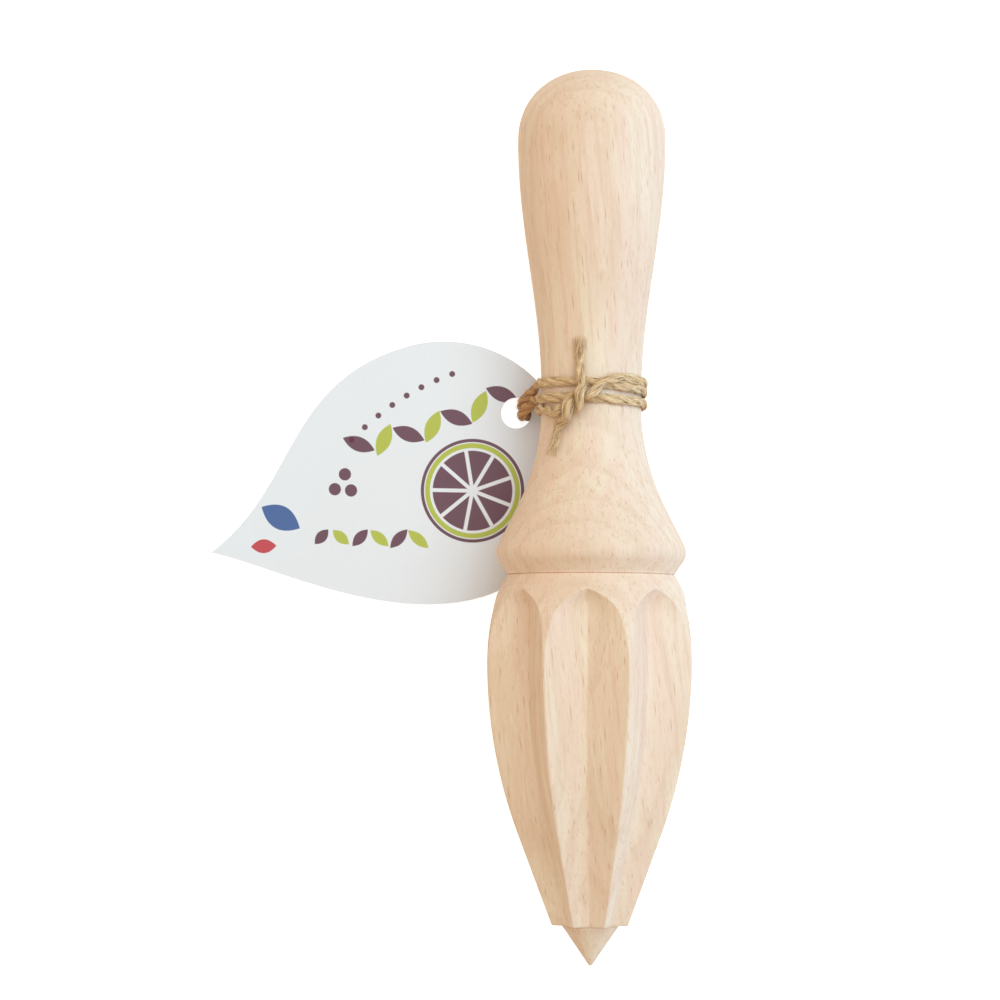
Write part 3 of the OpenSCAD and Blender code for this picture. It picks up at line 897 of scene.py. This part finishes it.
def printed_card():
    """White card with a plain printed decoration: a fruit slice, two sprigs, berries, dots and leaves."""
    card = Finish("white_card", Roughness=0.55, Specular_IOR_Level=0.3)
    spot = card.node("ShaderNodeAttribute", {"attribute_name": "on_card"}, {}, "Vector")

    # Millimetres from the middle of the round end, with x towards the tip and z through the card
    x, y, z = card.split(spot)
    soft = 0.07

    def inside(depth):
        """1 where depth is above 0, with a soft edge."""
        return card.between(depth, -soft, soft)

    def from_point(cx, cy):
        right, up = x - cx, y - cy
        return (right * right + up * up) ** 0.5

    def disc(cx, cy, radius):
        return inside(radius - from_point(cx, cy))

    def circle(cx, cy, radius, width):
        return inside(width / 2 - abs(from_point(cx, cy) - radius))

    def leaf(cx, cy, turn, length, width):
        right, up = x - cx, y - cy
        along = right * cos(turn) + up * sin(turn)
        side = abs(up * cos(turn) - right * sin(turn))
        return inside((1 - along * along * (4 / length ** 2)) * (width / 2) - side)

    def slice_parts(cx, cy, radius, segments):
        """The flesh of a round slice: wedges with pale gaps between them."""
        right, up = x - cx, y - cy
        far = (right * right + up * up) ** 0.5
        turn = up.maths("ARCTAN2", right) * (segments / (2 * math.pi))
        wedge = abs(turn - turn.maths("ROUND"))
        gap = (0.5 - wedge) * (2 * math.pi / segments) * far
        return inside(gap - 0.35) * inside(radius - far) * inside(far - 1)

    def printed(tone, marks, ink):
        """The marks, one or several, laid over the card in one ink."""
        covered = marks[0]
        for mark in marks[1:]:
            covered = covered.maths("MAXIMUM", mark)
        return card.mix(covered * 0.94, tone, colour(*ink))

    paper = card.mix(card.noise(spot, scale=2.2, detail=3), colour(240, 244, 255), colour(233, 237, 250))
    slice_at = (-4, 5)
    twig = [(-15 + 4.7 * n, -8.6 - 0.16 * (n - 3) ** 2, (48 if n % 2 else -40), 6.4, 2.7) for n in range(7)]
    sprig = [(8.5 + 3.4 * n, 10.2 - 1.25 * n, -14 + (42 if n % 2 else -46), 5 - 0.25 * n, 2)
             for n in range(6)]
    berries = [(17.5, -5.6), (20.2, -3.6), (17.4, -2.4)]
    tone = printed(paper, [slice_parts(*slice_at, 7.4, 9), circle(*slice_at, 9.3, 0.6)], MAROON)
    tone = printed(tone, [circle(*slice_at, 8.35, 0.9)], OLIVE)
    dark_marks = [leaf(*at) for at in twig[::2] + sprig[1::2]] + [disc(*at, 1.15) for at in berries]
    tone = printed(tone, dark_marks, MAROON)
    tone = printed(tone, [leaf(*at) for at in twig[1::2] + sprig[::2]], OLIVE)
    tone = printed(tone, [disc(-7.5 + 3.1 * n, -16.6 + 0.11 * n * n, 0.55) for n in range(8)], MAROON)
    tone = printed(tone, [leaf(31.6, -1.9, -48, 8.2, 4.4)], INK_BLUE)
    tone = printed(tone, [leaf(36.4, 2.1, -16, 4.8, 2.6)], INK_RED)
    tone = card.mix(inside(z - 0.1), colour(226, 224, 228), tone)
    card.feed("Base Color", tone)
    card.feed("Normal", card.bump(card.noise(spot, scale=6, detail=3), strength=0.08, distance_mm=0.05))
    return card.material


def card_edge():
    """The cut edge of the card, painted a little greyer than its face: painted shade along the rim."""
    edge = Finish("card_edge", Roughness=0.8)
    fluff = edge.noise(edge.surface_point(), scale=5)
    edge.feed("Base Color", edge.mix(fluff, colour(212, 208, 216), colour(188, 182, 194)))
    return edge.material


def lay_table():
    """A pale table that is white to the camera but for the object's shadow."""
    mesh = bpy.data.meshes.new("table")
    half = 3
    corners = [(-half, -half, 0), (half, -half, 0), (half, half, 0), (-half, half, 0)]
    mesh.from_pydata(corners, [], [(0, 1, 2, 3)])
    table = bpy.data.objects.new("table", mesh)
    bpy.context.scene.collection.objects.link(table)
    gap = 0.0003
    table.location.z = -gap

    top = Finish("white_table", Base_Color=colour(236, 235, 233), Roughness=0.9)
    plain = Value(top, top.shader.outputs["BSDF"])
    glow = top.node("ShaderNodeEmission", {}, {"Color": WHITE, "Strength": 0.78})
    glowing = top.node("ShaderNodeAddShader", {}, {0: plain, 1: glow})
    top.show(top.node("ShaderNodeMixShader", {}, {0: top.seen_directly(), 1: plain, 2: glowing}),
             "Material Output")
    mesh.materials.append(top.material)


def light_room():
    """A warm room that is white where it is seen, cool lamps above and on the right, and a warm one."""
    world = bpy.data.worlds.new("studio")
    bpy.context.scene.world = world
    world.use_nodes = True
    room = Nodes(world.node_tree)
    lit = room.tree.nodes["Background"]
    lit.inputs["Color"].default_value = (1, 0.77, 0.47, 1)
    lit.inputs["Strength"].default_value = 0.46
    backdrop = room.node("ShaderNodeBackground", {}, {"Color": WHITE})
    room.show(room.node("ShaderNodeMixShader", {},
                        {0: room.seen_directly(), 1: Value(room, lit.outputs[0]), 2: backdrop}),
              "World Output")

    def lamp(name, spot, power, size, tint):
        """A square soft lamp that looks at the reamer's middle."""
        light = bpy.data.lights.new(name, "AREA")
        light.energy = power
        light.size = size
        light.color = tint
        held = bpy.data.objects.new(name, light)
        bpy.context.scene.collection.objects.link(held)
        held.location = spot
        held.rotation_euler = (-Vector(spot)).to_track_quat("-Z", "Y").to_euler()

    lamp("ceiling", (0.33, 0.28, 0.9), power=8.4, size=0.9, tint=(0.73, 0.92, 1))
    lamp("window", (0.95, 0.1, 0.25), power=5.2, size=0.6, tint=(0.25, 0.53, 0.92))
    lamp("wall", (-0.9, 0.05, 0.3), power=1.7, size=0.9, tint=(1, 0.82, 0.62))


# Making of the scene, with the camera and the twine first
look_down()
twine_line = smooth_line(twine_route(), YARN_STEP)
twine = place("twine", twine_mesh(twine_line), "twine", "jute_twine",
              "twine_turns", "twine_knot", "twine_tail_upper", "twine_tail_lower")
twine.data.materials.append(jute())
[pressed(p) for p in twine_line]

reamer = place("wooden_reamer", reamer_mesh(), "reamer", "beech", "reamer")
reamer.data.materials.append(beech())

tag = place("card_tag", tag_mesh(), "tag", "white_card", "tag")
tag.data.materials.append(printed_card())
tag.data.materials.append(card_edge())

lay_table()
light_room()
bpy.context.scene.view_settings.view_transform = "Standard"
